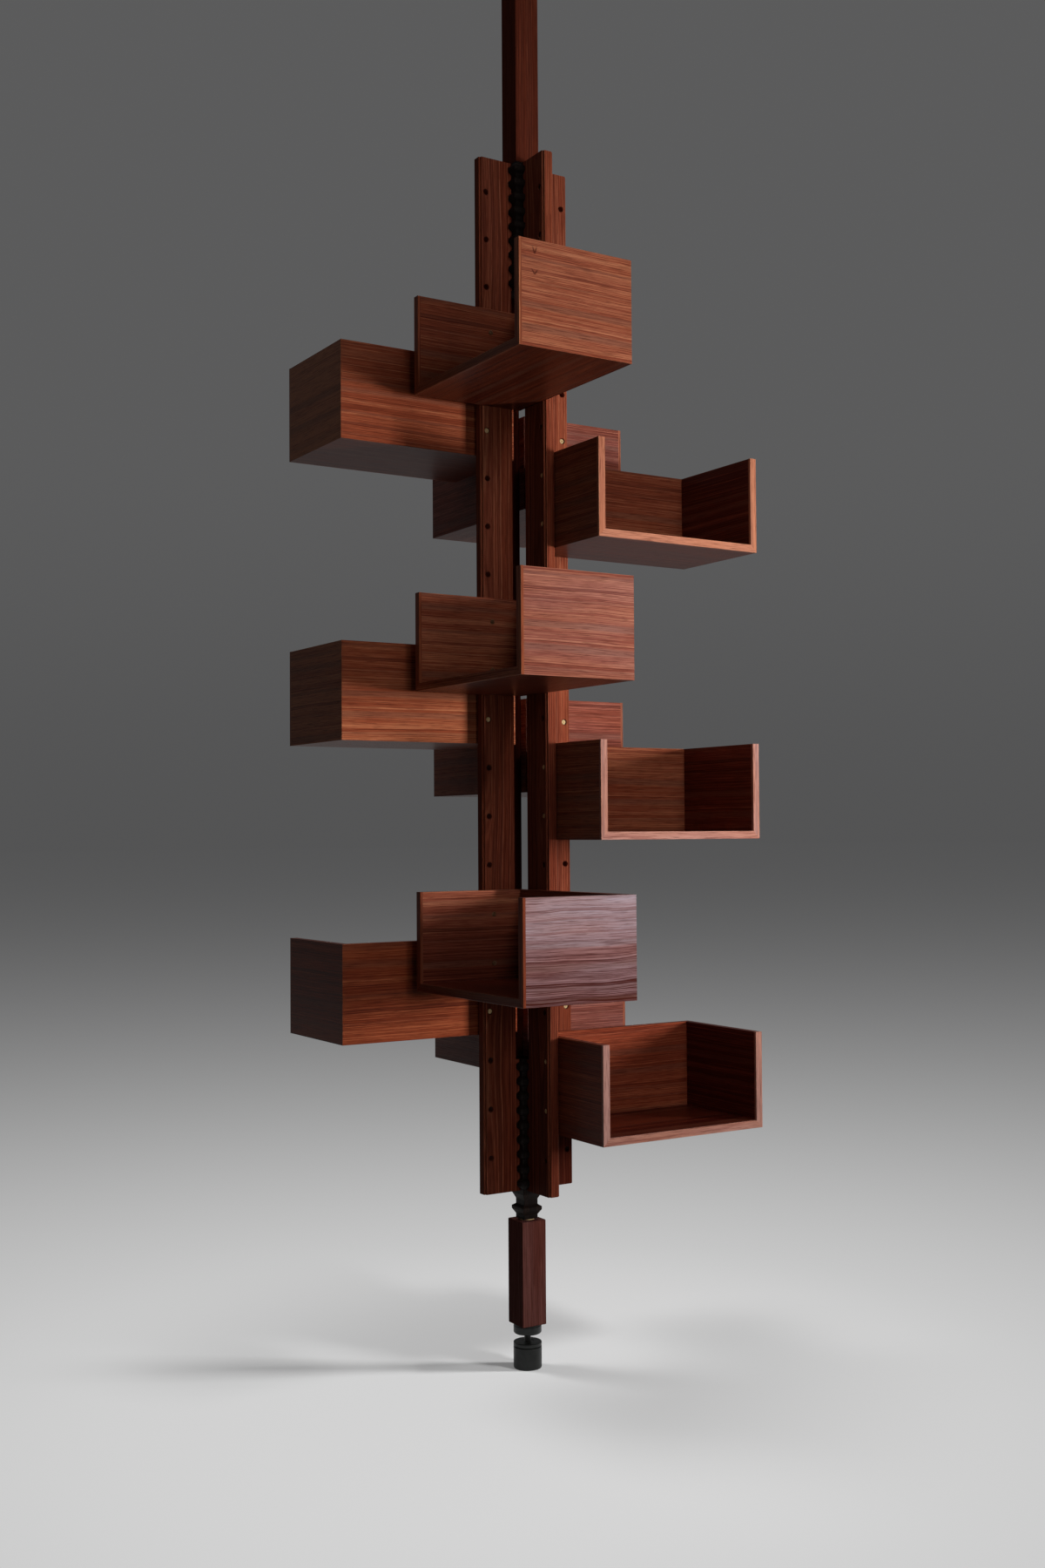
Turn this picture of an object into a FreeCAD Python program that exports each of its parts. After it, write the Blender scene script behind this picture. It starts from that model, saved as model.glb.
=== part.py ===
import FreeCAD, Part
import math
import os

# Floor-to-ceiling revolving bookcase. The origin is the middle of the foot's sole, on the turning axis,
# and +Z is up. The right upright reaches along +X and the back upright along +Y. Lengths are in millimetres.

# Foot and its screw, counted up from the floor
foot_diameter = 58.5
foot_height = 53.0
foot_cap_height = 7.5
foot_groove = 1.5
foot_groove_depth = 2.5
screw_diameter = 14.0
screw_end_height = 20.0
screw_gap = 18.0
screw_reach = 70.0
screw_travel = 15.0
collar_diameter = 58.0
collar_height = 19.0

# Lower post, neck and pivots
post_width = 57.0
post_length = 215.0
timber_arris = 1.0
turning_gap = 2.0
neck_height = 61.0
neck_waist = 33.0
neck_bead = 46.0
neck_flare = 44.5
neck_level_shares = [0, 0.14, 0.31, 0.41, 0.48, 0.66, 0.85, 1]
pivot_diameter = 16.0
pivot_hold = 60.0
bush_wall = 4.0
bush_length = 50.0
flange_diameter = 32.0
pin_end_gap = 5.0

# Column: uprights and the ribbed spines that they grip
hole_pitch = 100.0
hole_count = 21
hole_diameter = 12.0
hole_side_count = 10
bracket_hole_count = 2
hole_inset = 15.0
upright_thickness = 26.0
upright_reach = 108.0
upright_inset = 32.0
upright_end = 72.5
quirk = 4.0
rib_count = 9
rib_pitch = 30.0
rib_depth = 8.0
lower_crest = 31.0
upper_crest = 38.0
rib_flat_share = 0.26

# Shelf boxes, their edging and the barrel nuts that hold them
shelf_count = 12
turn_shelf_count = 4
turn_skip_count = 2
holes_above_count = 4
shelf_length = 402.0
shelf_depth = 251.0
shelf_height = 198.0
board = 16.0
edging_depth = 6.0
barrel_diameter = 10.0
barrel_side_count = 6
barrel_recess = 2.0

# Ceiling pole and plate
pole_width = 56.0
pole_length = 477.0
plate_width = 120.0
plate_thickness = 8.0
plate_hole = 6.5
plate_hole_inset = 15.0
socket_wall = 3.0
socket_height = 35.0

# Clearances, and the overrun of cuts that run out of a piece
running_fit = 0.05
seat_fit = 0.1
comb_fit = 0.15
housing_fit = 0.3
loose_fit = 0.5
overrun = 5.0

# Heights and half widths that follow from the sizes above
foot_cup_top = foot_height - foot_cap_height - foot_groove
collar_base = foot_height + screw_gap
post_base = collar_base + collar_height
post_top = post_base + post_length
neck_base = post_top + turning_gap
column_base = neck_base + neck_height
upright_length = (hole_count - 1) * hole_pitch + 2 * upright_end
column_top = column_base + upright_length
pole_base = column_top + turning_gap
pole_top = pole_base + pole_length
spine_length = rib_count * rib_pitch
hole_line = upright_reach - hole_inset
shelf_offset = upright_thickness / 2
panel_depth = shelf_depth - edging_depth
pivot_radius = pivot_diameter / 2
bush_radius = pivot_radius + running_fit + bush_wall
screw_radius = screw_diameter / 2

axis_up = FreeCAD.Vector(0, 0, 1)
origin = FreeCAD.Vector(0, 0, 0)


def point(x, y, z):
    return FreeCAD.Vector(x, y, z)


def polygon(points):
    return Part.makePolygon(points + points[:1])


def disc(radius, base, height):
    return Part.makeCylinder(radius, height, point(0, 0, base))


def square_bar(width, base, height):
    half = width / 2
    return Part.makeBox(width, width, height, point(-half, -half, base))


def turned_about(shape, degrees):
    copy = shape.copy()
    copy.rotate(origin, axis_up, degrees)
    return copy


def revolved(outline):
    # A closed outline of (radius, height) pairs, spun about the axis.
    face = Part.Face(polygon([point(r, 0, z) for r, z in outline]))
    return face.revolve(origin, axis_up, 360)


def square_turned(outline):
    # A baluster of square section: the (half width, height) outline is run straight through
    # along Y and along X, and the two bars are kept where they cross.
    right = [point(half, 0, z) for half, z in outline]
    left = [point(-half, 0, z) for half, z in reversed(outline)]
    widest = max(half for half, z in outline) + overrun
    face = Part.Face(polygon(right + left))
    face.translate(point(0, -widest, 0))
    bar = face.extrude(point(0, 2 * widest, 0))
    return bar.common(turned_about(bar, 90)).removeSplitter()


def ease_upright_edges(solid, size):
    edges = [e for e in solid.Edges if abs(e.tangentAt(e.FirstParameter).z) > math.cos(math.pi / 4)]
    return solid.makeChamfer(size, edges)


def rib_outline(crest, start, direction):
    # Half widths of a ribbed spine, from its outer end towards the middle of the column:
    # half a valley, a slope, a crest, a slope and half a valley for each rib.
    valley = crest - rib_depth
    flat = rib_pitch * rib_flat_share
    slope = (rib_pitch - 2 * flat) / 2
    steps = [(valley, flat / 2), (crest, flat / 2 + slope)]
    steps += [(crest, rib_pitch - flat / 2 - slope), (valley, rib_pitch - flat / 2)]
    outline = [(valley, start)]
    for rib in range(rib_count):
        outline += [(half, start + direction * (rib * rib_pitch + along)) for half, along in steps]
    outline.append((valley, start + direction * spine_length))
    return outline


def spine(crest, start, direction):
    # A box that stands beside the spine has its corner let into the ribs.
    core = square_turned(rib_outline(crest, start, direction))
    return core.cut([shelf_housing(shelf) for shelf in range(shelf_count)])


def shelf_housing(shelf):
    height = shelf_height + 2 * housing_fit
    at = point(-housing_fit, -housing_fit, -housing_fit)
    return placed_on_shelf(Part.makeBox(shelf_depth, shelf_length, height, at), shelf)


def upright(degrees):
    # One outline in the XZ plane: a comb that grips each spine, with a straight edge between them.
    comb_low = [(half + comb_fit, z) for half, z in rib_outline(lower_crest, column_base, 1)]
    comb_high = [(half + comb_fit, z) for half, z in rib_outline(upper_crest, column_top, -1)]
    comb_end_low = comb_low[-1][1] + comb_fit
    comb_end_high = comb_high[-1][1] - comb_fit
    inner = comb_low[:-1] + [(comb_low[-1][0], comb_end_low), (upright_inset, comb_end_low)]
    inner += [(upright_inset, comb_end_high), (comb_high[-1][0], comb_end_high)] + comb_high[-2::-1]
    outer = [(upright_reach, column_top), (upright_reach, column_base)]
    face = Part.Face(polygon([point(x, -upright_thickness / 2, z) for x, z in inner + outer]))
    plate = face.extrude(point(0, upright_thickness, 0))
    corner = quirk + overrun
    cuts = []
    for side in (-1, 1):
        edge_y = side * (upright_thickness / 2 - quirk)
        low_y = min(edge_y, edge_y + side * corner)
        corner_at = point(upright_reach - quirk, low_y, column_base - overrun)
        cuts.append(Part.makeBox(corner, corner, upright_length + 2 * overrun, corner_at))
    cuts += [upright_hole(hole) for hole in range(hole_count)]
    return turned_about(plate.cut(cuts), degrees)


def upright_hole(hole):
    # The holes at the top, free for a bracket, are drilled round. The others have many sides.
    start = -upright_thickness / 2 - overrun
    through = upright_thickness + 2 * overrun
    if hole < bracket_hole_count:
        drill = Part.makeCylinder(hole_diameter / 2, through, point(hole_line, start, 0), point(0, 1, 0))
    else:
        drill = many_sided_bar(hole_side_count, hole_diameter, start, through)
    drill.translate(point(0, 0, hole_height(hole)))
    return drill


def many_sided_bar(sides, width, start, length):
    # A bar along Y through the hole line, as wide across its flats as width.
    half_turn = math.pi / sides
    radius = width / 2 / math.cos(half_turn)
    turns = [half_turn * (2 * corner + 1) for corner in range(sides)]
    ring = [point(hole_line + radius * math.cos(a), start, radius * math.sin(a)) for a in turns]
    return Part.Face(polygon(ring)).extrude(point(0, length, 0))


def hole_height(hole):
    # Holes are counted from the top of the uprights.
    return column_top - upright_end - hole * hole_pitch


def shelf_angle(shelf):
    # Shelves go down clockwise: over the front left, then left, back and right.
    return 180 - shelf * 360 / turn_shelf_count


def shelf_lower_hole(shelf):
    return holes_above_count + shelf + turn_skip_count * (shelf // turn_shelf_count)


def shelf_base(shelf):
    # The bolts stand half a pitch above and below the middle of the box.
    return hole_height(shelf_lower_hole(shelf)) - (shelf_height - hole_pitch) / 2


def placed_on_shelf(solid, shelf):
    copy = solid.copy()
    copy.translate(point(shelf_offset, shelf_offset, shelf_base(shelf)))
    copy.rotate(origin, axis_up, shelf_angle(shelf))
    return copy


def mitred(outer, inner):
    # A board between two outlines with as many corners: a flat face joins each pair of edges.
    after = [corner + 1 for corner in range(len(outer) - 1)] + [0]
    edges = [[outer[i], outer[j], inner[j], inner[i]] for i, j in enumerate(after)]
    solid = Part.Solid(Part.Shell([Part.Face(polygon(face)) for face in edges + [outer, inner]]))
    return solid if solid.Volume > 0 else solid.reversed()


# A box in its own frame has its back face at x = 0, its first side at y = 0 and its floor at z = 0.
# It is open at the front and at the top.


def floor_board():
    outer = [(0, 0), (panel_depth, 0), (panel_depth, shelf_length), (0, shelf_length)]
    far = shelf_length - board
    inner = [(board, board), (panel_depth, board), (panel_depth, far), (board, far)]
    return mitred([point(x, y, 0) for x, y in outer], [point(x, y, board) for x, y in inner])


def back_board():
    outer = [(0, 0), (shelf_length, 0), (shelf_length, shelf_height), (0, shelf_height)]
    far = shelf_length - board
    inner = [(board, board), (far, board), (far, shelf_height), (board, shelf_height)]
    return mitred([point(0, y, z) for y, z in outer], [point(board, y, z) for y, z in inner])


def side_board():
    outer = [(0, 0), (panel_depth, 0), (panel_depth, shelf_height), (0, shelf_height)]
    inner = [(board, board), (panel_depth, board), (panel_depth, shelf_height), (board, shelf_height)]
    return mitred([point(x, 0, z) for x, z in outer], [point(x, board, z) for x, z in inner])


def across_box(solid):
    return solid.mirror(point(0, shelf_length / 2, 0), point(0, 1, 0))


def edging():
    # Three strips with mitred corners close the front edges of the sides and the floor.
    far = shelf_length - board
    sill = [(0, 0), (shelf_length, 0), (far, board), (board, board)]
    stile = [(0, 0), (board, board), (board, shelf_height), (0, shelf_height)]
    reach = point(edging_depth, 0, 0)
    faces = [Part.Face(polygon([point(panel_depth, y, z) for y, z in shape])) for shape in (sill, stile)]
    strips = [face.extrude(reach) for face in faces]
    return strips + [across_box(strips[1])]


def barrel_nuts():
    # A barrel nut sits in every hole with a board on one or both faces of the upright. It meets the
    # board and stops short of a bare face.
    boarded = {}
    for shelf in range(shelf_count):
        for hole in (shelf_lower_hole(shelf) - 1, shelf_lower_hole(shelf)):
            boarded.setdefault((shelf_angle(shelf) % 360, hole), []).append(1)
            boarded.setdefault(((shelf_angle(shelf) + 90) % 360, hole), []).append(-1)
    width = barrel_diameter * math.cos(math.pi / barrel_side_count)
    barrels = []
    for (degrees, hole), sides in boarded.items():
        low, high = [upright_thickness / 2 - (0 if side in sides else barrel_recess) for side in (-1, 1)]
        barrel = many_sided_bar(barrel_side_count, width, -low, low + high)
        barrel.translate(point(0, 0, hole_height(hole)))
        barrels.append(turned_about(barrel, degrees))
    return barrels


def neck():
    # From its foot up: a waist, one bead with sloped shoulders, a second waist and a flare under the column.
    waist = neck_waist / 2
    flare = neck_flare / 2
    bead = neck_bead / 2
    levels = [neck_base + neck_height * share for share in neck_level_shares]
    halves = [waist, waist, bead, bead, waist, waist, flare, flare]
    return square_turned(list(zip(halves, levels))).cut(disc(bush_radius, neck_base, bush_length))


def lower_post():
    post = ease_upright_edges(square_bar(post_width, post_base, post_length), timber_arris)
    screw_room = disc(screw_radius + loose_fit, post_base, screw_reach + screw_travel + loose_fit)
    return post.cut([screw_room, disc(pivot_radius, post_top - pivot_hold, pivot_hold)])


def flanged_bush():
    # The flange fills the gap under the neck and carries the column on the end of the post.
    bore = pivot_radius + running_fit
    base = post_top + running_fit
    rim = flange_diameter / 2
    outline = [(bore, base), (rim, base), (rim, neck_base), (bush_radius, neck_base)]
    return revolved(outline + [(bush_radius, neck_base + bush_length), (bore, neck_base + bush_length)])


def plain_bush(base):
    return disc(bush_radius, base, bush_length).cut(disc(pivot_radius + running_fit, base, bush_length))


def jack_collar():
    radius = collar_diameter / 2
    bore = screw_radius + running_fit
    return disc(radius, collar_base, collar_height).cut(disc(bore, collar_base, collar_height))


def foot_cap():
    # A spigot under the cap leaves the ring groove between cap and cup.
    radius = foot_diameter / 2
    spigot = radius - foot_groove_depth
    bore = screw_radius + running_fit
    rim = foot_height - foot_cap_height
    outline = [(bore, foot_cup_top), (spigot, foot_cup_top), (spigot, rim), (radius, rim)]
    return revolved(outline + [(radius, foot_height), (bore, foot_height)])


def foot_cup():
    socket = disc(screw_radius + running_fit, screw_end_height, foot_cup_top - screw_end_height)
    return disc(foot_diameter / 2, 0, foot_cup_top).cut(socket)


def ceiling_plate():
    base = pole_top - socket_height
    inner = pole_width + 2 * seat_fit
    socket = square_bar(inner + 2 * socket_wall, base, socket_height)
    plate = square_bar(plate_width, pole_top, plate_thickness).fuse(socket)
    corner = plate_width / 2 - plate_hole_inset
    hole = Part.makeCylinder(plate_hole / 2, plate_thickness, point(corner, corner, pole_top))
    holes = [turned_about(hole, degrees) for degrees in (0, 90, 180, 270)]
    return plate.cut(holes + [square_bar(inner, base, socket_height)]).removeSplitter()


def ceiling_pole():
    pole = ease_upright_edges(square_bar(pole_width, pole_base, pole_length), timber_arris)
    return pole.cut(disc(pivot_radius, pole_base, pivot_hold))


def save(name, *solids):
    shape = solids[0] if len(solids) == 1 else Part.makeCompound(list(solids))
    shape.exportStep(os.path.join("parts", name + ".step"))


os.makedirs("parts", exist_ok=True)

pin_inside = bush_length - pin_end_gap
lower_pin_base = post_top - pivot_hold
lower_pin_top = neck_base + pin_inside
upper_pin_base = column_top - pin_inside
upper_bush_base = column_top - bush_length
save("foot_cup", foot_cup())
save("foot_cap", foot_cap())
save("levelling_screw", disc(screw_radius, screw_end_height, post_base + screw_reach - screw_end_height))
save("jack_collar", jack_collar())
save("lower_post", lower_post())
save("lower_pivot_pin", disc(pivot_radius, lower_pin_base, lower_pin_top - lower_pin_base))
save("neck", neck())
save("pivot_bushes", flanged_bush(), plain_bush(upper_bush_base))
save("lower_spine", spine(lower_crest, column_base, 1))
save("upper_spine", spine(upper_crest, column_top, -1).cut(disc(bush_radius, upper_bush_base, bush_length)))
save("upper_pivot_pin", disc(pivot_radius, upper_pin_base, pole_base + pivot_hold - upper_pin_base))
save("ceiling_pole", ceiling_pole())
save("ceiling_plate", ceiling_plate())

for name, degrees in (("right", 0), ("back", 90), ("left", 180), ("front", 270)):
    save(name + "_upright", upright(degrees))

first_side = side_board()
strips = []
for shelf in range(shelf_count):
    name = "shelf_%d_" % (shelf + 1)
    save(name + "floor", placed_on_shelf(floor_board(), shelf))
    save(name + "back", placed_on_shelf(back_board(), shelf))
    save(name + "sides", placed_on_shelf(first_side, shelf), placed_on_shelf(across_box(first_side), shelf))
    strips += [placed_on_shelf(strip, shelf) for strip in edging()]
save("shelf_edging", *strips)
save("barrel_nuts", *barrel_nuts())
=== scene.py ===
import bpy
import bmesh
import math
import numpy as np
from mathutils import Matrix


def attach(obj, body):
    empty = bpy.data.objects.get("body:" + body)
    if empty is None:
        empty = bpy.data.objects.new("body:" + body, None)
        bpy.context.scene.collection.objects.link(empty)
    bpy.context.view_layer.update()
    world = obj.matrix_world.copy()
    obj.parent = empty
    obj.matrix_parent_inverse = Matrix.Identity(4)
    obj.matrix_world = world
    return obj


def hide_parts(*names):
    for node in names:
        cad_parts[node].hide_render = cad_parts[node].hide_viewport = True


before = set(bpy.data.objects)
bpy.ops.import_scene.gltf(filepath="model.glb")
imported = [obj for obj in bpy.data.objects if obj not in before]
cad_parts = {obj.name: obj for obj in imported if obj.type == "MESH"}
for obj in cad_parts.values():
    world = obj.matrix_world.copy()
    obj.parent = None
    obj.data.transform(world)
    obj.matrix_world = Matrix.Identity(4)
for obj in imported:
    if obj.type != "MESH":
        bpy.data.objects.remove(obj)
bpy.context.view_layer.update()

mm = 0.001
grainSeed = 11
chance = np.random.default_rng(grainSeed)
boardHeart = ((-0.32, 0.05, -3), (-0.13, 0.14, 3))  # where a board lay in its log, from and to, in metres
square = np.array([[1, -1], [1, 1], [-1, 1], [-1, -1]])  # corners at half width 1
# degrees between two faces that still look like one curve, and whether flat faces are kept flat
shadings = {"board": (38, True), "edged": (40, True), "crisp": (24, True), "round": (50, False),
            "small": (40, False), "thread": (80, False)}
print("frame loaded:", len(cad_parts), "nodes")


def easedOutline(corners, radius, steps=3):
    # A corner P turns into the curve (1-s)^2 A + 2s(1-s) P + s^2 B, where A and B lie one radius
    # along its two edges and s runs from 0 to 1. Corners may be stacked, one outline per station.
    corners = np.asarray(corners, float)
    toLast = np.roll(corners, 1, axis=-2) - corners
    toNext = np.roll(corners, -1, axis=-2) - corners
    toLast /= np.linalg.norm(toLast, axis=-1, keepdims=True)
    toNext /= np.linalg.norm(toNext, axis=-1, keepdims=True)
    reach = np.broadcast_to(np.asarray(radius, float), corners.shape[:-1])[..., None, None]
    s = np.linspace(0, 1, steps + 1)[:, None]
    mid = corners[..., None, :]
    a, b = mid + reach * toLast[..., None, :], mid + reach * toNext[..., None, :]
    curve = (1 - s) ** 2 * a + 2 * s * (1 - s) * mid + s ** 2 * b
    onArris = np.broadcast_to(((s > 0) & (s < 1))[:, 0] * 1.0, curve.shape[:-1])
    flatShape = corners.shape[:-2] + (-1,)
    return curve.reshape(flatShape + (2,)), onArris.reshape(flatShape)


def insetOutline(corners, depth):
    # Every edge moves inwards by depth: P + depth (m + n) / (1 + m.n), with m and n the inward
    # normals of the two edges that meet at P.
    corners = np.asarray(corners, float)
    along = np.roll(corners, -1, axis=-2) - corners
    along /= np.linalg.norm(along, axis=-1, keepdims=True)
    x, y = corners[..., 0], corners[..., 1]
    turn = x * np.roll(y, -1, -1) - y * np.roll(x, -1, -1)
    side = np.sign(turn.sum(-1))[..., None, None]
    n = np.stack([-along[..., 1], along[..., 0]], -1) * side
    m = np.roll(n, 1, axis=-2)
    return corners + depth * (m + n) / (1 + (m * n).sum(-1, keepdims=True))


def skin(rings, arris=0, tone=0.5, figureAndSheen=0.0, grain=None, closed=False):
    # rings[i, j] is point j of the profile at station i: quads join neighbours. An n-gon closes
    # each end, or in a closed ring the last station joins the first.
    m, n = rings.shape[:2]
    index = np.arange(m * n).reshape(m, n)
    ends = [] if closed else [index[0, ::-1], index[-1]]
    index = np.concatenate([index, index[:1]]) if closed else index
    beside = np.roll(index, -1, axis=1)
    quads = np.stack([index[:-1], beside[:-1], beside[1:], index[1:]], -1)
    plain = np.repeat([0.0, 1.0], [quads.size // 4, len(ends)])
    verts = rings.reshape(-1, 3)
    return {"verts": verts, "loops": np.concatenate([quads.ravel(), *ends]),
            "sizes": np.where(plain > 0, n, 4), "plain": plain, "shade": plain * 0,
            "arris": np.broadcast_to(arris, (m, n)).reshape(-1) * 1.0,
            "tone": np.full(m * n, tone), "figureAndSheen": np.full(m * n, figureAndSheen),
            "grain": verts.copy() if grain is None else grain.reshape(-1, 3)}


def upRings(outline, heights):
    # stations of a flat outline (x, y), each lifted to its own height z
    z = np.broadcast_to(np.asarray(heights)[:, None, None], outline.shape[:2] + (1,))
    return np.concatenate([outline, z], -1) * mm


def together(shapes):
    # several closed shapes as one: the point numbers of each start after the points before it
    starts = np.cumsum([0] + [len(s["verts"]) for s in shapes[:-1]])
    joined = {key: np.concatenate([s[key] for s in shapes]) for key in shapes[0]}
    joined["loops"] = np.concatenate([s["loops"] + start for s, start in zip(shapes, starts)])
    return joined


def turned(shape, degrees, lift=(0, 0, 0)):
    # the shape is lifted first and then turned about the upright axis
    c, s = round(math.cos(math.radians(degrees)), 12), round(math.sin(math.radians(degrees)), 12)
    spin = np.array([[c, -s, 0], [s, c, 0], [0, 0, 1]])
    return {**shape, "verts": (shape["verts"] + np.asarray(lift)) @ spin.T}


def carried(corners, radius, axes, start, end, startMitre=0.0, endMitre=0.0, endEase=0.0, tone=0.5,
            figureAndSheen=0.0):
    # A board: the eased outline (a, b) is carried along the third axis from start + startMitre b to
    # end - endMitre b, so b is the thickness that the mitres cut across. The ends may be eased too.
    full, arris = easedOutline(corners, radius)
    small = easedOutline(insetOutline(corners, endEase), radius)[0] if endEase else full
    outlines = np.stack([small, full, full, small] if endEase else [full, full])
    shares = np.array([[0, endEase, -endEase, 0]] if endEase else [[0, 0]]).T
    a, b = outlines[..., 0], outlines[..., 1]
    half = len(outlines) // 2
    along = np.concatenate([(start + startMitre * b)[:half], (end - endMitre * b)[half:]]) + shares
    rings = np.empty(a.shape + (3,))
    rings[..., axes[0]], rings[..., axes[1]], rings[..., axes[2]] = a, b, along
    grain = np.stack([a - a.mean(), b, along], -1) * mm + chance.uniform(*boardHeart)
    return skin(rings * mm, arris, tone, figureAndSheen, grain)


def lathe(profile, around, axis=2, centre=(0, 0, 0), closed=False):
    # each (radius, height) pair of the profile sweeps a ring of angles t: (r cos t, r sin t, h)
    profile = np.asarray(profile, float)
    t = np.linspace(0, 2 * math.pi, around, endpoint=False)
    rings = np.stack([profile[:, :1] * np.cos(t), profile[:, :1] * np.sin(t),
                      np.repeat(profile[:, 1:], around, 1)], -1)
    rings = np.roll(rings, axis - 2, axis=-1)
    return skin((rings + np.asarray(centre)) * mm, closed=closed)


def softProfile(corners, radius, steps=4, mostOfEdge=0.48):
    # an open (radius, height) profile with its inner corners rounded by the same curve as an outline
    corners = np.asarray(corners, float)
    before, after = corners[:-2] - corners[1:-1], corners[2:] - corners[1:-1]
    lengthBefore = np.linalg.norm(before, axis=1)[:, None]
    lengthAfter = np.linalg.norm(after, axis=1)[:, None]
    reach = np.minimum(radius, mostOfEdge * np.minimum(lengthBefore, lengthAfter))
    a = corners[1:-1] + before / lengthBefore * reach
    b = corners[1:-1] + after / lengthAfter * reach
    s = np.linspace(0, 1, steps + 1)[:, None]
    curve = (1 - s) ** 2 * a[:, None] + 2 * s * (1 - s) * corners[1:-1, None] + s ** 2 * b[:, None]
    return np.concatenate([corners[:1], curve.reshape(-1, 2), corners[-1:]])


def newMesh(name, shape):
    # the arrays go into the mesh whole, and its faces are turned outwards
    mesh = bpy.data.meshes.new(name)
    mesh.vertices.add(len(shape["verts"]))
    mesh.vertices.foreach_set("co", shape["verts"].ravel())
    mesh.loops.add(len(shape["loops"]))
    mesh.loops.foreach_set("vertex_index", shape["loops"].astype(np.int32))
    mesh.polygons.add(len(shape["sizes"]))
    starts = np.cumsum(shape["sizes"]) - shape["sizes"]
    mesh.polygons.foreach_set("loop_start", starts.astype(np.int32))
    mesh.update(calc_edges=True)
    work = bmesh.new()
    work.from_mesh(mesh)
    bmesh.ops.recalc_face_normals(work, faces=work.faces)
    work.to_mesh(mesh)
    work.free()
    return mesh


def meshShape(mesh, shift=(0, 0, 0), tone=0.5):
    # a finished mesh read back as arrays; its grain runs upright
    verts = np.empty(len(mesh.vertices) * 3)
    mesh.vertices.foreach_get("co", verts)
    loops, sizes = np.empty(len(mesh.loops), np.int32), np.empty(len(mesh.polygons), np.int32)
    mesh.loops.foreach_get("vertex_index", loops)
    mesh.polygons.foreach_get("loop_total", sizes)
    verts, count = verts.reshape(-1, 3), len(mesh.vertices)
    return {"verts": verts, "loops": loops, "sizes": sizes, "plain": sizes * 0.0, "shade": sizes * 0.0,
            "arris": np.zeros(count), "tone": np.full(count, tone), "figureAndSheen": np.zeros(count),
            "grain": verts + np.asarray(shift)}


def drilled(shape, cutters):
    # the shape less all the cutters, as a new mesh; the working objects are removed again
    work = [bpy.data.objects.new("work", newMesh("work", part)) for part in (shape, together(cutters))]
    for item in work:
        bpy.context.scene.collection.objects.link(item)
    cut = work[0].modifiers.new("cut", "BOOLEAN")
    cut.operation, cut.solver, cut.object = "DIFFERENCE", "EXACT", work[1]
    seen = bpy.context.evaluated_depsgraph_get()
    mesh = bpy.data.meshes.new_from_object(work[0].evaluated_get(seen))
    for item in work:
        old = item.data
        bpy.data.objects.remove(item)
        bpy.data.meshes.remove(old)
    return mesh


def writeLook(mesh, shape):
    # grain follows the points; tone with any painted light and shade, figure with its painted sheen, and
    # worn arris go to the face corners, with no wear on the end faces
    corner = np.empty(len(mesh.loops), np.int32)
    mesh.loops.foreach_get("vertex_index", corner)
    worn = shape["arris"][corner] * (1 - np.repeat(shape["plain"], shape["sizes"]))
    tone = shape["tone"][corner] + np.repeat(shape["shade"], shape["sizes"])
    look = np.stack([tone, shape["figureAndSheen"][corner], worn, np.ones(len(corner))], -1)
    grain = mesh.attributes.new("grain", "FLOAT_VECTOR", "POINT")
    grain.data.foreach_set("vector", shape["grain"].ravel())
    mesh.attributes.new("look", "FLOAT_COLOR", "CORNER").data.foreach_set("color", look.ravel())


def putPiece(name, shape, material, body, nodes=(), shading="board"):
    # the shape as an object with its finish, riding on its body in place of its CAD nodes
    angle, keepFlat = shadings[shading]
    mesh = newMesh(name, shape)
    writeLook(mesh, shape)
    mesh.polygons.foreach_set("use_smooth", np.ones(len(mesh.polygons), bool))
    mesh.set_sharp_from_angle(angle=math.radians(angle))
    mesh.materials.append(material)
    piece = bpy.data.objects.new(name, mesh)
    bpy.context.scene.collection.objects.link(piece)
    if keepFlat:
        even = piece.modifiers.new("flat faces stay flat", "WEIGHTED_NORMAL")
        even.keep_sharp, even.weight = True, 100  # large faces count most in the normals
    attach(piece, body)
    if nodes:
        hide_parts(*nodes)


def emptyTree(owner):
    # the node tree of a material or world, with nothing in it
    owner.use_nodes = True
    owner.node_tree.nodes.clear()
    return owner.node_tree


def addNode(tree, kind, values=None, **settings):
    # a node with its settings; each value is either linked from a socket or written to the input
    made = tree.nodes.new("ShaderNode" + kind)
    for key, value in settings.items():
        setattr(made, key, value)
    for key, value in (values or {}).items():
        if isinstance(value, bpy.types.NodeSocket):
            tree.links.new(value, made.inputs[key])
        else:
            made.inputs[key].default_value = value
    return made


def sums(tree, operation, a, b=0.0, c=0.0, clamp=False):
    # one step of arithmetic on numbers and sockets
    return addNode(tree, "Math", {0: a, 1: b, 2: c}, operation=operation, use_clamp=clamp).outputs[0]


def times(tree, a, b):
    return sums(tree, "MULTIPLY", a, b)


def blended(tree, share, a, b):
    # colour a where the share is 0, colour b where it is 1
    made = addNode(tree, "Mix", {0: share, 6: a, 7: b}, data_type="RGBA", blend_type="MIX")
    return made.outputs[2]


def spread(tree, value, low, high):
    # 0 at low, 1 at high and a smooth step between them
    made = addNode(tree, "MapRange", {"Value": value, "From Min": low, "From Max": high},
                   interpolation_type="SMOOTHSTEP")
    return made.outputs[0]


def newGroup(name, inputs, outputs):
    # an empty group with its named sockets
    tree = bpy.data.node_groups.new(name, "ShaderNodeTree")
    for title, kind, value in inputs:
        socket = tree.interface.new_socket(name=title, in_out="INPUT", socket_type="NodeSocket" + kind)
        socket.default_value = value
    for title, kind in outputs:
        tree.interface.new_socket(name=title, in_out="OUTPUT", socket_type="NodeSocket" + kind)
    return tree, tree.nodes.new("NodeGroupInput").outputs, tree.nodes.new("NodeGroupOutput").inputs


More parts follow.
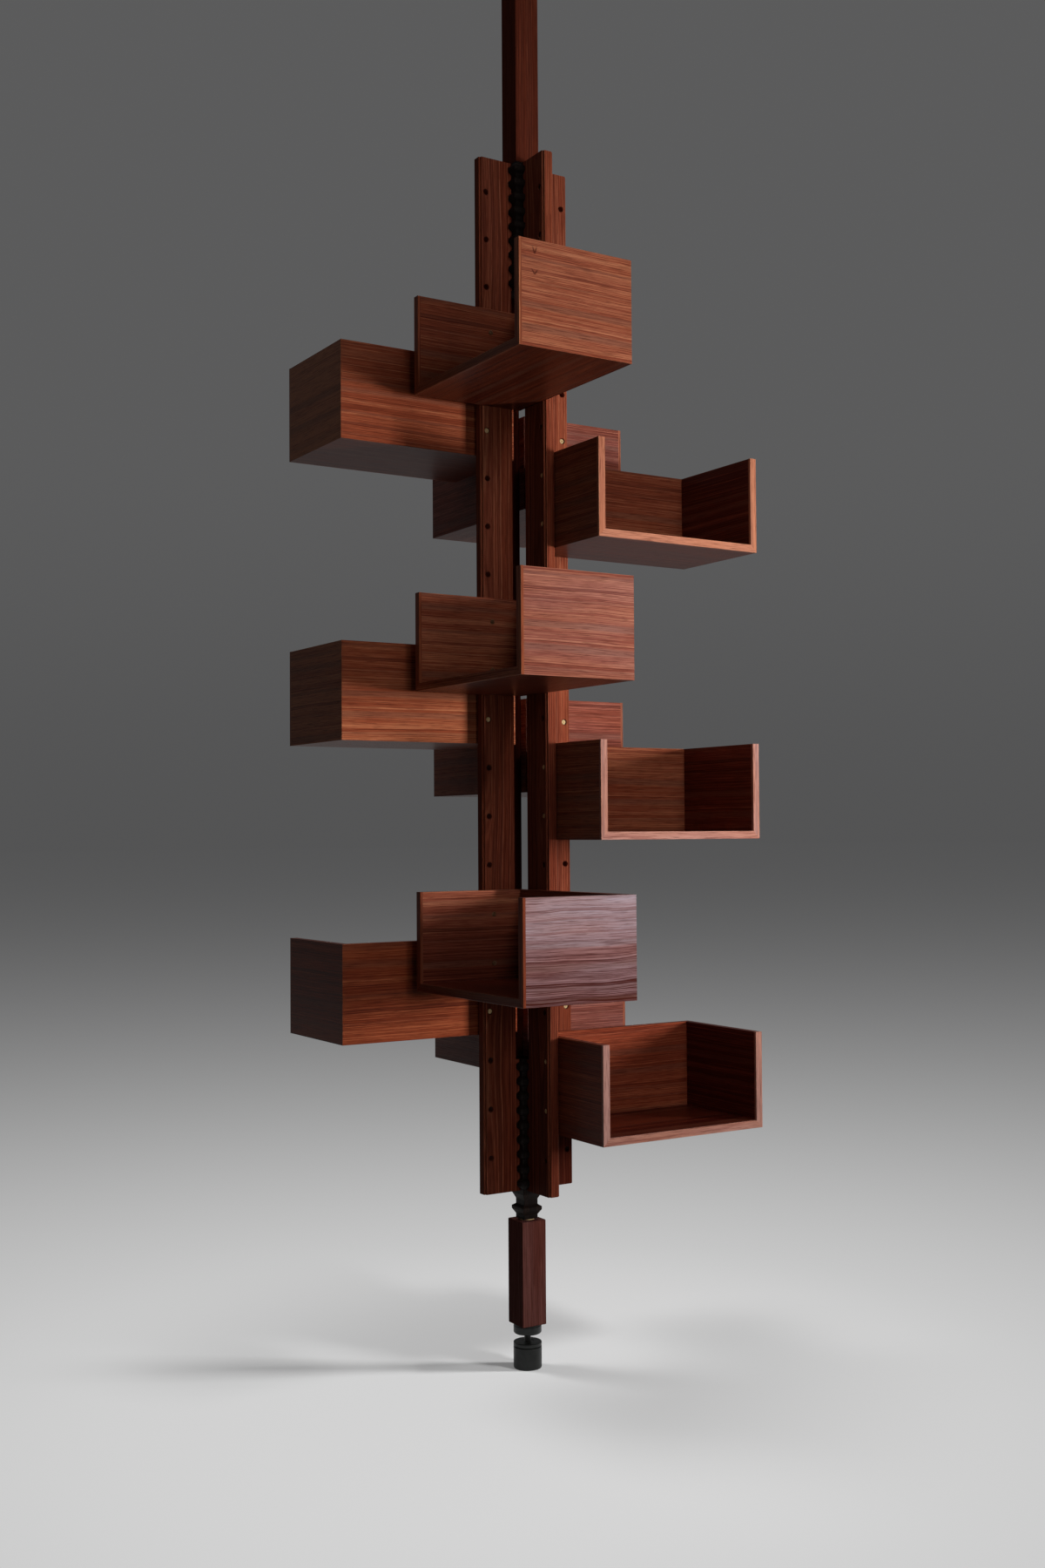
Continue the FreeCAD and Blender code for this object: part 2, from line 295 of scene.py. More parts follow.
grainPattern = {
    # noise over the board: its stretch across, across and along the grain, then detail and roughness
    "board": {"bend": ((7, 7, 1.6), 2.0, 0.5), "ripple": ((9, 9, 7), 1.0, 0.5),
              "fibres": ((560, 560, 9), 3.0, 0.6), "dashes": ((820, 820, 24), 2.0, 0.5),
              "pores": ((1500, 1500, 40), 1.0, 0.5), "broad": ((9, 9, 1.3), 2.0, 0.5),
              "clouds": ((20, 20, 3), 1.0, 0.5)},
    # noise over the rings: its width in ring widths, then detail and roughness
    "rings": {"drift": (7.0, 1.0, 0.6), "rings": (0.8, 3.0, 0.6), "lines": (0.36, 2.0, 0.6),
              "grey": (5.3, 2.0, 0.6), "years": (3.4, 2.0, 0.7)},
    "seasonWidths": 4.5,
    # where each smooth step starts and ends
    "steps": {"climb": (0.0, 0.9), "drop": (0.92, 1.0), "dashes": (0.50, 0.66), "pores": (0.60, 0.72),
              "clouds": (0.36, 0.62), "middle": (0.0, 0.55), "light": (0.45, 1.0), "grey": (0.5, 0.68)},
    # how much each of them counts
    "shares": {"bend": 0.016, "ripple": 0.016, "rings": 0.45, "figuredRings": 0.1, "band": 0.1,
               "years": 0.45, "figuredYears": 0.25, "lines": 0.9, "fibres": 0.8, "broad": 0.5, "grey": 0.5,
               "paintedSheen": 0.7, "paintedSheenClouds": 0.5, "dashes": 0.5, "pores": 0.4, "worn": 0.3,
               "fibreRoughness": 0.1, "poreRoughness": 0.22, "fibreHeight": 0.5}}


def woodGrainGroup():
    # Growth rings are noise over the distance from a heart line beside the board, bent by slow noise.
    # Broader bands climb slowly and drop sharply, as the seasons do; fine fibres, flecks and open pores
    # are noise drawn out along the grain. Figured wood takes on silvery clouds, a painted sheen that
    # stands in for a reflection of cool light.
    tree, given, result = newGroup("woodGrain", [
        ("Grain", "Vector", (0, 0, 0)), ("Tone", "Float", 0.5), ("FigureAndSheen", "Float", 0.0),
        ("Worn", "Float", 0.0), ("Dark", "Color", (0.03, 0.012, 0.008, 1)),
        ("Middle", "Color", (0.13, 0.05, 0.03, 1)), ("Light", "Color", (0.26, 0.12, 0.07, 1)),
        ("Grey", "Color", (0.1, 0.06, 0.04, 1)), ("PaintedSheen", "Color", (0.30, 0.27, 0.325, 1)),
        ("Ring width", "Float", 0.011), ("Sheen roughness", "Float", 0.4)],
        [("Color", "Color"), ("Roughness", "Float"), ("Height", "Float")])
    shares = grainPattern["shares"]

    def noise(name):
        stretch, detail, rough = grainPattern["board"][name]
        scaled = addNode(tree, "VectorMath", {0: given["Grain"], 1: stretch}, operation="MULTIPLY")
        return addNode(tree, "TexNoise", {"Vector": scaled.outputs[0], "Scale": 1.0, "Detail": detail,
                                          "Roughness": rough}).outputs[0]

    def acrossRings(name):
        widths, detail, rough = grainPattern["rings"][name]
        place = sums(tree, "DIVIDE", heart, times(tree, given["Ring width"], widths))
        return addNode(tree, "TexNoise", {"W": place, "Scale": 1.0, "Detail": detail, "Roughness": rough},
                       noise_dimensions="1D").outputs[0]

    def stepped(value, name):
        return spread(tree, value, *grainPattern["steps"][name])

    def swing(value, weight):  # a noise about its middle
        return times(tree, sums(tree, "SUBTRACT", value, 0.5), weight)

    def weighed(total, value, weight):
        return sums(tree, "ADD", total, swing(value, weight))

    def figured(plain, more):
        return sums(tree, "MULTIPLY_ADD", given["FigureAndSheen"], shares[more], shares[plain])

    axes = addNode(tree, "SeparateXYZ", {0: given["Grain"]}).outputs
    heart = sums(tree, "SQRT", sums(tree, "ADD", sums(tree, "POWER", axes[0], 2.0),
                                    sums(tree, "POWER", axes[1], 2.0)))
    heart = sums(tree, "ADD", heart, swing(noise("bend"), shares["bend"]))
    ripple = swing(noise("ripple"), given["FigureAndSheen"])
    heart = sums(tree, "ADD", heart, times(tree, ripple, shares["ripple"]))
    seasonWidth = times(tree, given["Ring width"], grainPattern["seasonWidths"])
    season = sums(tree, "ADD", sums(tree, "DIVIDE", heart, seasonWidth), acrossRings("drift"))
    season = sums(tree, "FRACT", season)
    band = sums(tree, "SUBTRACT", stepped(season, "climb"), stepped(season, "drop"))
    fibres, broad = noise("fibres"), noise("broad")
    dashes, pores, clouds = [stepped(noise(name), name) for name in ("dashes", "pores", "clouds")]

    mixShare = weighed(given["Tone"], acrossRings("rings"), figured("rings", "figuredRings"))
    mixShare = weighed(mixShare, band, shares["band"])
    mixShare = weighed(mixShare, acrossRings("years"), figured("years", "figuredYears"))
    mixShare = weighed(mixShare, acrossRings("lines"), shares["lines"])
    mixShare = weighed(mixShare, fibres, shares["fibres"])
    mixShare = sums(tree, "ADD", weighed(mixShare, broad, shares["broad"]), 0.0, clamp=True)

    lower = blended(tree, stepped(mixShare, "middle"), given["Dark"], given["Middle"])
    colour = blended(tree, stepped(mixShare, "light"), lower, given["Light"])
    greyness = times(tree, stepped(acrossRings("grey"), "grey"), shares["grey"])
    colour = blended(tree, greyness, colour, given["Grey"])
    # painted sheen: with the figure the colour turns towards a silvery sheen in clouds, a reflection painted
    # in
    cloudy = sums(tree, "MULTIPLY_ADD", clouds, shares["paintedSheenClouds"], shares["paintedSheen"])
    paintedSheenAmount = sums(tree, "MULTIPLY", times(tree, given["FigureAndSheen"], mixShare), cloudy, clamp=True)
    colour = blended(tree, paintedSheenAmount, colour, given["PaintedSheen"])
    colour = blended(tree, times(tree, dashes, shares["dashes"]), colour, given["Dark"])
    colour = blended(tree, times(tree, pores, shares["pores"]), colour, given["Dark"])
    wear = times(tree, given["Worn"], times(tree, broad, shares["worn"]))
    colour = blended(tree, wear, colour, given["Light"])
    rough = sums(tree, "ADD", given["Sheen roughness"], times(tree, fibres, shares["fibreRoughness"]))
    rough = sums(tree, "ADD", rough, times(tree, pores, shares["poreRoughness"]))
    height = sums(tree, "SUBTRACT", times(tree, fibres, shares["fibreHeight"]), pores)
    tree.links.new(colour, result["Color"])
    tree.links.new(rough, result["Roughness"])
    tree.links.new(height, result["Height"])
    return tree


speckle = {"blotchDetail": 4.0, "blotchFrom": 0.35, "blotchTo": 0.7, "stippleDetail": 1.0, "stipple": 0.25,
           "uneven": 0.3}


def speckleGroup():
    # cast and coated metal: soft blotches of a second colour and a fine stipple; the sheen varies with
    # the blotches
    tree, given, result = newGroup("metalSpeckle", [
        ("Colour", "Color", (0.03, 0.03, 0.03, 1)), ("Second colour", "Color", (0.05, 0.05, 0.05, 1)),
        ("Blotch size", "Float", 0.02), ("Stipple size", "Float", 0.0008),
        ("Base roughness", "Float", 0.45)],
        [("Color", "Color"), ("Roughness", "Float"), ("Height", "Float")])
    place = addNode(tree, "TexCoord").outputs["Object"]

    def noise(size, detail):
        scale = sums(tree, "DIVIDE", 1.0, size)
        return addNode(tree, "TexNoise", {"Vector": place, "Scale": scale, "Detail": detail}).outputs[0]

    blotch = noise(given["Blotch size"], speckle["blotchDetail"])
    stipple = noise(given["Stipple size"], speckle["stippleDetail"])
    share = sums(tree, "ADD", spread(tree, blotch, speckle["blotchFrom"], speckle["blotchTo"]),
                 times(tree, stipple, speckle["stipple"]), clamp=True)
    rough = sums(tree, "ADD", given["Base roughness"],
                 times(tree, sums(tree, "SUBTRACT", blotch, 0.5), speckle["uneven"]))
    tree.links.new(blended(tree, share, given["Colour"], given["Second colour"]), result["Color"])
    tree.links.new(rough, result["Roughness"])
    tree.links.new(stipple, result["Height"])
    return tree


woodGrain, metalSpeckle = woodGrainGroup(), speckleGroup()


def newMaterial(name, group, values, bump, sockets):
    # the group's colour, roughness and height on one shader; bump is its strength and distance
    material = bpy.data.materials.new(name)
    tree = emptyTree(material)
    effect = addNode(tree, "Group", node_tree=group)
    for key, value in values.items():
        effect.inputs[key].default_value = value
    lift = addNode(tree, "Bump", {"Strength": bump[0], "Distance": bump[1],
                                  "Height": effect.outputs["Height"]})
    surface = addNode(tree, "BsdfPrincipled", {
        "Base Color": effect.outputs["Color"], "Roughness": effect.outputs["Roughness"],
        "Normal": lift.outputs[0], **sockets})
    addNode(tree, "OutputMaterial", {"Surface": surface.outputs[0]})
    return material, tree, effect


def woodMaterial(name, values, specular, bump=(0.25, 0.0003)):
    # the grain comes from the piece's own attributes
    material, tree, effect = newMaterial(name, woodGrain, values, bump, {"Specular IOR Level": specular})
    grain = addNode(tree, "Attribute", attribute_name="grain", attribute_type="GEOMETRY")
    look = addNode(tree, "Attribute", attribute_name="look", attribute_type="GEOMETRY")
    parts = addNode(tree, "SeparateXYZ", {0: look.outputs["Color"]}).outputs
    tree.links.new(grain.outputs["Vector"], effect.inputs["Grain"])
    for source, title in zip(parts, ("Tone", "FigureAndSheen", "Worn")):
        tree.links.new(source, effect.inputs[title])
    return material


def metalMaterial(name, values, bump, sockets):
    return newMaterial(name, metalSpeckle, values, bump, sockets)[0]


walnutLook = {"Dark": (0.05, 0.0085, 0.005, 1), "Middle": (0.185, 0.041, 0.018, 1),
              "Light": (0.37, 0.138, 0.066, 1), "Grey": (0.125, 0.050, 0.031, 1),
              "Ring width": 0.004, "Sheen roughness": 0.27}
redLook = {**walnutLook, "Dark": (0.045, 0.006, 0.004, 1), "Middle": (0.19, 0.036, 0.0145, 1),
           "Light": (0.40, 0.118, 0.05, 1), "Grey": (0.12, 0.04, 0.024, 1)}
dullLook = {**walnutLook, "Grey": (0.075, 0.030, 0.020, 1), "Ring width": 0.0035, "Sheen roughness": 0.46}
# a darker copy of the walnut: painted shade on the post and the pole, where the light falls off below and
# above
shadedLook = {"Dark": (0.018, 0.004, 0.003, 1), "Middle": (0.08, 0.0155, 0.008, 1),
            "Light": (0.18, 0.049, 0.026, 1), "Grey": (0.055, 0.022, 0.016, 1),
            "Ring width": 0.0035, "Sheen roughness": 0.5}
ebonyLook = {"Dark": (0.003, 0.002, 0.0018, 1), "Middle": (0.006, 0.004, 0.0035, 1),
             "Light": (0.022, 0.012, 0.009, 1), "Grey": (0.010, 0.008, 0.0075, 1),
             "Ring width": 0.005, "Sheen roughness": 0.5}
brassLook = {"Colour": (0.80, 0.60, 0.33, 1), "Second colour": (0.58, 0.41, 0.20, 1),
             "Blotch size": 0.004, "Stipple size": 0.0004, "Base roughness": 0.3}
agedLook = {**brassLook, "Colour": (0.22, 0.12, 0.06, 1), "Second colour": (0.12, 0.06, 0.03, 1),
            "Base roughness": 0.36}
enamelLook = {"Colour": (0.008, 0.009, 0.0085, 1), "Second colour": (0.017, 0.0185, 0.0175, 1),
              "Blotch size": 0.012, "Stipple size": 0.0007, "Base roughness": 0.42}
steelLook = {"Colour": (0.075, 0.073, 0.07, 1), "Second colour": (0.14, 0.135, 0.13, 1),
             "Blotch size": 0.006, "Stipple size": 0.0005, "Base roughness": 0.36}
walnut = woodMaterial("oiled_walnut", walnutLook, specular=0.09)
redWalnut = woodMaterial("red_walnut", redLook, specular=0.09)
dullWalnut = woodMaterial("waxed_walnut", dullLook, specular=0.02)
shadedWalnut = woodMaterial("shaded_walnut", shadedLook, specular=0.01)
knottedWalnut = woodMaterial("knotted_walnut", walnutLook, specular=0.09)
ebony = woodMaterial("ebonised_wood", ebonyLook, specular=0.1, bump=(0.3, 0.0004))
enamel = metalMaterial("black_enamel", enamelLook, (0.25, 0.0002), {"Specular IOR Level": 0.35})
brass = metalMaterial("brass", brassLook, (0.15, 0.0001), {"Metallic": 0.4})
agedBrass = metalMaterial("aged_brass", agedLook, (0.15, 0.0001), {"Metallic": 0.6})
steel = metalMaterial("dark_steel", steelLook, (0.2, 0.0001), {"Metallic": 1.0})

# a mark is the x and z of its vertex, the slope of its arms and their rise
knots = {"face": -0.405, "line": 0.0032, "depth": 0.9, "fadeFrom": 0.4,
         "marks": [(-0.2297, 2.1627, 0.33, 0.017), (-0.2298, 2.1247, 0.65, 0.012)]}


def addKnots(material):
    # V-shaped marks on one face: dark where the distance sideways from the vertex is the slope times
    # the height above it
    tree = material.node_tree
    surface = tree.nodes["Principled BSDF"]
    axes = addNode(tree, "SeparateXYZ", {0: addNode(tree, "TexCoord").outputs["Object"]}).outputs
    onFace, mask = sums(tree, "LESS_THAN", axes[1], knots["face"]), 0.0
    for x, z, slope, rise in knots["marks"]:
        up = sums(tree, "SUBTRACT", axes[2], z)
        aside = sums(tree, "ABSOLUTE", sums(tree, "SUBTRACT", axes[0], x))
        off = sums(tree, "ABSOLUTE", sums(tree, "SUBTRACT", aside, times(tree, up, slope)))
        drawn = times(tree, sums(tree, "GREATER_THAN", up, 0.0),
                      spread(tree, up, rise, rise * knots["fadeFrom"]))
        mask = sums(tree, "MAXIMUM", mask, times(tree, drawn, spread(tree, off, knots["line"], 0.0)))
    share = times(tree, times(tree, mask, onFace), knots["depth"])
    plainWood = surface.inputs["Base Color"].links[0].from_socket
    tree.links.new(blended(tree, share, plainWood, walnutLook["Dark"]), surface.inputs["Base Color"])


addKnots(knottedWalnut)
print("finishes ready")


# the column: two ribbed spines, and four uprights whose inner edges grip them
column = {"base": 368.0, "top": 2513.0, "ribs": 9, "pitch": 30.0, "depth": 8.0, "flat": 0.26,
          "lowCrest": 31.0, "highCrest": 38.0, "fit": 0.15, "station": 2.0, "corner": 3.0, "wear": 0.6,
          "grainShift": (0.03, 0.02, 0.4), "housings": [(-90, 491.2, 700), (0, 591.2, 700)],
          "housingNear": 12.7, "housingReach": 60.0, "housingCorner": 0.05, "bore": (12.05, 2463, 2520),
          "boreSides": 48}
uprightSize = {"half": 13.0, "reach": 108.0, "inset": 32.0, "quirk": 4.0, "arris": 1.1, "quirkArris": 0.3,
               "step": 0.3, "holes": 21, "firstHole": 2440.5, "pitch": 100.0, "holeLine": 93.0,
               "holeRadius": 6.0, "holeSides": 40, "chamfer": 0.7, "overrun": 1.0, "wearAndHighlightWithin": 0.75,
               "innerShade": -0.6, "shadedPast": 1.5, "figureAndSheen": 0.03, "shadeFrom": 0.95, "shadeOver": 0.5,
               "heart": ((-0.2, 0.05, -2), (-0.05, 0.12, 2))}
# each upright's foot is painted darker, as shade where the light falls off low down
uprightLook = {"right": (0, 0.46, 0.36), "back": (90, 0.45, 0.17), "left": (180, 0.44, 0.15),
               "front": (270, 0.43, 0.24)}  # its turn, its tone and how much darker its foot is
spineLength = column["ribs"] * column["pitch"]
spineStations = np.linspace(0, spineLength, int(spineLength / column["station"]) + 1)


def ribHalf(along, crest):
    # half width of a spine at a distance from its outer end: valley + depth times a rounded step up and
    # down in each pitch; the step is 3u^2 - 2u^3 of the slope's own share u
    t = (along / column["pitch"]) % 1.0
    rise = (0.5 - np.abs(t - 0.5) - column["flat"] / 2) / (0.5 - column["flat"])
    u = np.clip(rise, 0, 1)
    return crest - column["depth"] + column["depth"] * u * u * (3 - 2 * u)


def spineShape(crest, start, direction):
    # a square of half width ribHalf, its corners eased, at every station of the height
    half = ribHalf(spineStations, crest)
    outline, arris = easedOutline(half[:, None, None] * square, column["corner"])
    return skin(upRings(outline, start + direction * spineStations), arris * column["wear"])


def uprightShape():
    # The cross-section (inner edge, quirked outer edge) at every station; the inner edge follows the two
    # spines' half widths plus a fit, and stays straight between them.
    low, step = spineStations, uprightSize["step"]
    z = np.concatenate([column["base"] + low, [column["base"] + spineLength + step],
                        [column["top"] - spineLength - step], column["top"] - low[::-1]])
    inner = np.concatenate([ribHalf(low, column["lowCrest"]) + column["fit"], [uprightSize["inset"]] * 2,
                            ribHalf(low[::-1], column["highCrest"]) + column["fit"]])
    half, reach, quirk = uprightSize["half"], uprightSize["reach"], uprightSize["quirk"]
    edge = [(0, -half), (reach - quirk, -half), (reach - quirk, quirk - half), (reach, quirk - half),
            (reach, half - quirk), (reach - quirk, half - quirk), (reach - quirk, half), (0, half)]
    corners = np.tile(np.array(edge, float), (len(z), 1, 1))
    corners[:, [0, -1], 0] = inner[:, None]
    radius = np.full(len(edge), uprightSize["arris"])
    radius[[2, 5]] = uprightSize["quirkArris"]
    outline, arris = easedOutline(corners, radius)
    return skin(upRings(outline, z), arris)


def holeHeight(hole):
    # holes count down from the top of an upright, one pitch apart
    return uprightSize["firstHole"] - uprightSize["pitch"] * hole


def holeCutters():
    # a drill with a flared end at each face of the upright, so that every rim gets a small chamfer
    half, c, r = uprightSize["half"], uprightSize["chamfer"], uprightSize["holeRadius"]
    over = uprightSize["overrun"]
    profile = [(r + c + over, -half - over), (r, c - half), (r, half - c), (r + c + over, half + over)]
    heights = holeHeight(np.arange(uprightSize["holes"]))
    return [lathe(profile, uprightSize["holeSides"], 1, (uprightSize["holeLine"], 0, z)) for z in heights]


def housing(quarter, low, high):
    # the room in a spine for the corner of a shelf box, a block in one quarter round the axis
    near, reach = column["housingNear"], column["housingReach"]
    block = carried([(near, near), (reach, near), (reach, reach), (near, reach)], column["housingCorner"],
                    (0, 1, 2), low, high)
    return turned(block, quarter)


def boring(radius, low, high, around):
    # a plain drill on the upright axis, of one radius from low to high
    return lathe([(radius, low), (radius, high)], around)


lowerSpine = drilled(spineShape(column["lowCrest"], column["base"], 1),
                     [housing(*room) for room in column["housings"]])
upperSpine = drilled(spineShape(column["highCrest"], column["top"], -1),
                     [boring(*column["bore"], column["boreSides"])])
for name, mesh in (("lower_spine", lowerSpine), ("upper_spine", upperSpine)):
    putPiece("ribbed_" + name, meshShape(mesh, column["grainShift"]), ebony, "column",
             [name], "round")


def uprightWearAndShade():
    # points near the quirked corners are paler, as wear and as a painted highlight along the arris; faces
    # no further out than the spines are painted dark, as shade in the recess beside them
    shape = meshShape(drilled(uprightShape(), holeCutters()))
    half, reach, quirk = uprightSize["half"], uprightSize["reach"], uprightSize["quirk"]
    corners = np.array([(reach - quirk, half), (reach, half - quirk)])
    points = shape["verts"] / mm
    plan = np.stack([points[:, 0], np.abs(points[:, 1])], -1)
    gap = np.linalg.norm(plan[:, None] - corners, axis=-1).min(1)
    # paler near the quirked corners: wear, and a painted highlight along the arris
    shape["arris"] = (gap < uprightSize["wearAndHighlightWithin"]) * 1.0
    starts = np.cumsum(shape["sizes"]) - shape["sizes"]
    furthest = np.maximum.reduceat(points[shape["loops"], 0], starts)
    # painted shade: faces in the recess beside the spines are darkened
    inShade = furthest < column["highCrest"] + uprightSize["shadedPast"]
    shape["shade"] = np.where(inShade, uprightSize["innerShade"], 0.0)
    # the figure also paints a little silvery sheen on the uprights
    shape["figureAndSheen"] += uprightSize["figureAndSheen"]
    return shape


upright = uprightWearAndShade()
# painted shade: towards the foot the tone drops, as the light falls off
footShadeShare = np.clip((uprightSize["shadeFrom"] - upright["verts"][:, 2]) / uprightSize["shadeOver"], 0, 1)
for name, (degrees, tone, footShade) in uprightLook.items():
    shape = turned(upright, degrees)
    shape["grain"] = upright["verts"] + chance.uniform(*uprightSize["heart"])
    shape["tone"] = tone - footShade * footShadeShare
    putPiece("drilled_%s_upright" % name, shape, dullWalnut, "column", [name + "_upright"],
             "edged")
print("column ready:", len(upright["verts"]), "points in an upright")


# the neck under the column, the post below it and the pole above
turning = {"base": 307.0, "height": 61.0, "waist": 16.5, "bead": 23.0, "flare": 22.25, "soft": 0.9,
           "softSteps": 3, "levels": [0, 0.14, 0.31, 0.41, 0.48, 0.66, 0.85, 1], "arris": 0.9, "tone": 0.6,
           "bore": (12.05, 300, 357.0), "boreSides": 40}
timber = {"arris": 1.6, "end": 1.0, "wear": 0.8, "wearReach": 1.15, "boreSides": 32,
          "heart": ((-0.1, 0.03, -2), (0.1, 0.09, 2))}
post = {"half": 28.5, "base": 90.0, "top": 305.0, "tone": 0.48, "figureAndSheen": 0.14,
        "bores": [(7.1, 85.0, 180.0), (8.02, 245.0, 310.0)]}
pole = {"half": 28.0, "base": 2515.0, "top": 2992.0, "tone": 0.45, "figureAndSheen": 0.0,
        "bores": [(8.02, 2510.0, 2575.0)]}


def neckShape():
    # the square's half width steps through waist, bead, waist and flare; corners between the levels are
    # softened
    flare, waist, bead = turning["flare"], turning["waist"], turning["bead"]
    halves = np.array([waist, waist, bead, bead, waist, waist, flare, flare])
    heights = turning["base"] + turning["height"] * np.array(turning["levels"])
    profile = softProfile(np.stack([halves, heights], -1), turning["soft"], turning["softSteps"])
    outline, arris = easedOutline(profile[:, :1, None] * square, turning["arris"])
    return skin(upRings(outline, profile[:, 1]), arris, turning["tone"])


def squareTimber(size):
    # a square bar with eased edges and ends, bored for its pin and screw; wear along the long edges
    h, arris = size["half"], timber["arris"]
    bar = carried([(-h, -h), (h, -h), (h, h), (-h, h)], arris, (0, 1, 2), size["base"], size["top"],
                  endEase=timber["end"])
    cutters = [boring(*bore, timber["boreSides"]) for bore in size["bores"]]
    shape = meshShape(drilled(bar, cutters), chance.uniform(*timber["heart"]), size["tone"])
    # the figure also paints a silvery sheen on the bar
    shape["figureAndSheen"] += size["figureAndSheen"]
    outward = np.abs(shape["verts"][:, :2]).sum(1) / mm
    shape["arris"] = (outward > 2 * h - timber["wearReach"] * arris) * timber["wear"]
    return shape


boredNeck = drilled(neckShape(), [boring(*turning["bore"], turning["boreSides"])])
putPiece("turned_neck", meshShape(boredNeck, tone=turning["tone"]), ebony, "column",
         ["neck"], "crisp")
putPiece("square_post", squareTimber(post), shadedWalnut, "stand", ["lower_post"])
putPiece("square_pole", squareTimber(pole), shadedWalnut, "stand", ["ceiling_pole"])
print("neck, post and pole ready")


# the levelling foot with its screw and collar, and the plate at the ceiling
foot = {"radius": 29.25, "cupTop": 44.0, "capBase": 45.5, "top": 53.0, "groove": 26.75, "round": 1.3,
        "middle": 1.0, "soleEase": (1, 1.2), "cupBore": 7.2, "boreBase": 22, "boreMiddle": 20,
        "capBore": 7.1, "dish": 14, "dishDepth": 0.8, "sides": 96}
screw = {"radius": 7.0, "root": 6.2, "pitch": 2.0, "base": 20.0, "top": 160.0, "threadLow": 46.0,
         "threadHigh": 96.0, "around": 40, "stepsInPitch": 8, "runOut": 1, "slack": 0.02, "endEase": 0.8}
collar = {"radius": 29.0, "base": 71.0, "top": 90.0, "round": 1.4, "bore": 7.1, "boss": 10, "chamfer": 2,
          "lip": 1.2, "lipFrom": 3.2, "lipTo": 2.4, "sides": 96}
plate = {"half": 60.0, "base": 2992.0, "top": 3000.0, "socket": 31.1, "inner": 28.1, "socketBase": 2957.0,
         "mouth": 0.5, "mouthRise": 0.6, "weld": 3, "weldMiddle": 0.9, "underEase": 0.7, "topEase": 0.5,
         "corner": 5.0, "socketCorner": 2.0, "screws": 45.0, "screwSides": 24,
         "head": [(1.8, 1.0), (1.9, 2.9), (3.2, 3.0), (5.0, 2.3), (5.9, 1.0), (6.0, 0)]}


def threadedRod():
    # r(t, z) = root + (radius - root) (1 - |2 frac(z / pitch - t / turn) - 1|), a ridge that climbs one
    # pitch each turn; plain below and above the thread
    low, high, run = screw["threadLow"], screw["threadHigh"], screw["runOut"]
    turn = np.linspace(0, 1, screw["around"], endpoint=False)
    rise = np.arange(low, high, screw["pitch"] / screw["stepsInPitch"])
    z = np.concatenate([[screw["base"], screw["base"] + run, low - run], rise,
                        [high + run, screw["top"] - run, screw["top"]]])
    wave = 1 - np.abs(2 * ((z[:, None] / screw["pitch"] - turn) % 1.0) - 1)
    r = screw["root"] + (screw["radius"] - screw["root"]) * wave
    smooth = (z < low) | (z > high)
    r = np.where(smooth[:, None], screw["radius"] - screw["slack"], r)
    r[[0, -1]] -= screw["endEase"]
    t = 2 * math.pi * turn
    rings = np.stack([r * np.cos(t), r * np.sin(t), np.broadcast_to(z[:, None], r.shape)], -1)
    return skin(rings * mm)


def cupProfile():
    # (radius, height) from the middle of the sole out, up the wall and down into the screw's hole
    r, top, (easeIn, easeUp) = foot["radius"], foot["cupTop"], foot["soleEase"]
    return softProfile([(foot["middle"], 0), (r - easeIn, 0), (r, easeUp), (r, top), (foot["groove"], top),
                        (foot["cupBore"], top), (foot["cupBore"], foot["boreBase"]),
                        (foot["middle"], foot["boreMiddle"])], foot["round"])


def capProfile():
    # (radius, height) from the hole out under the groove, up the rim and in over the dished top
    r, g, low, base, top = foot["radius"], foot["groove"], foot["cupTop"], foot["capBase"], foot["top"]
    bore, dish, depth = foot["capBore"], foot["dish"], foot["dishDepth"]
    return softProfile([(bore, low), (g, low), (g, base), (r, base), (r, top), (dish, top),
                        (dish - depth, top - depth), (bore, top - depth)], foot["round"])


def collarProfile():
    # (radius, height) from the hole out under the disc, up its chamfered rim to a lip and in over the top
    r, low, top, inner = collar["radius"], collar["base"], collar["top"], collar["radius"] - collar["lip"]
    return softProfile([(collar["bore"], low), (collar["boss"], low), (r - collar["chamfer"], low),
                        (r, low + collar["chamfer"]), (r, top - collar["lipFrom"]),
                        (inner, top - collar["lipTo"]), (inner, top), (collar["boss"], top),
                        (collar["bore"], top)], collar["round"])


def ceilingPlate():
    # square rings of half width h at height z, from the roof of the socket down its wall, out, up and
    # over the plate
    inner, outer, half = plate["inner"], plate["socket"], plate["half"]
    mouth, low, top = plate["socketBase"], plate["base"], plate["top"]
    rise, weld, middle = plate["mouthRise"], plate["weld"], plate["weldMiddle"]
    size = np.array([
        (inner, low), (inner, mouth + rise), (inner + plate["mouth"], mouth), (outer - rise, mouth),
        (outer, mouth + rise), (outer, low - weld), (outer + middle, low - middle), (outer + weld, low),
        (half - plate["underEase"], low), (half, low + plate["underEase"]), (half, top - plate["topEase"]),
        (half - plate["topEase"], top)])
    rounding = np.where(size[:, 0] > (half + outer) / 2, plate["corner"], plate["socketCorner"])
    outline, arris = easedOutline(size[:, :1, None] * square, rounding[:, None])
    return skin(upRings(outline, size[:, 1]), arris)


def plateScrew(x, y):
    # a low dome with a round recess, upside down under the plate
    head = np.array(plate["head"]) * (1, -1) + (0, plate["base"])
    return lathe(head, plate["screwSides"], 2, (x, y, 0))


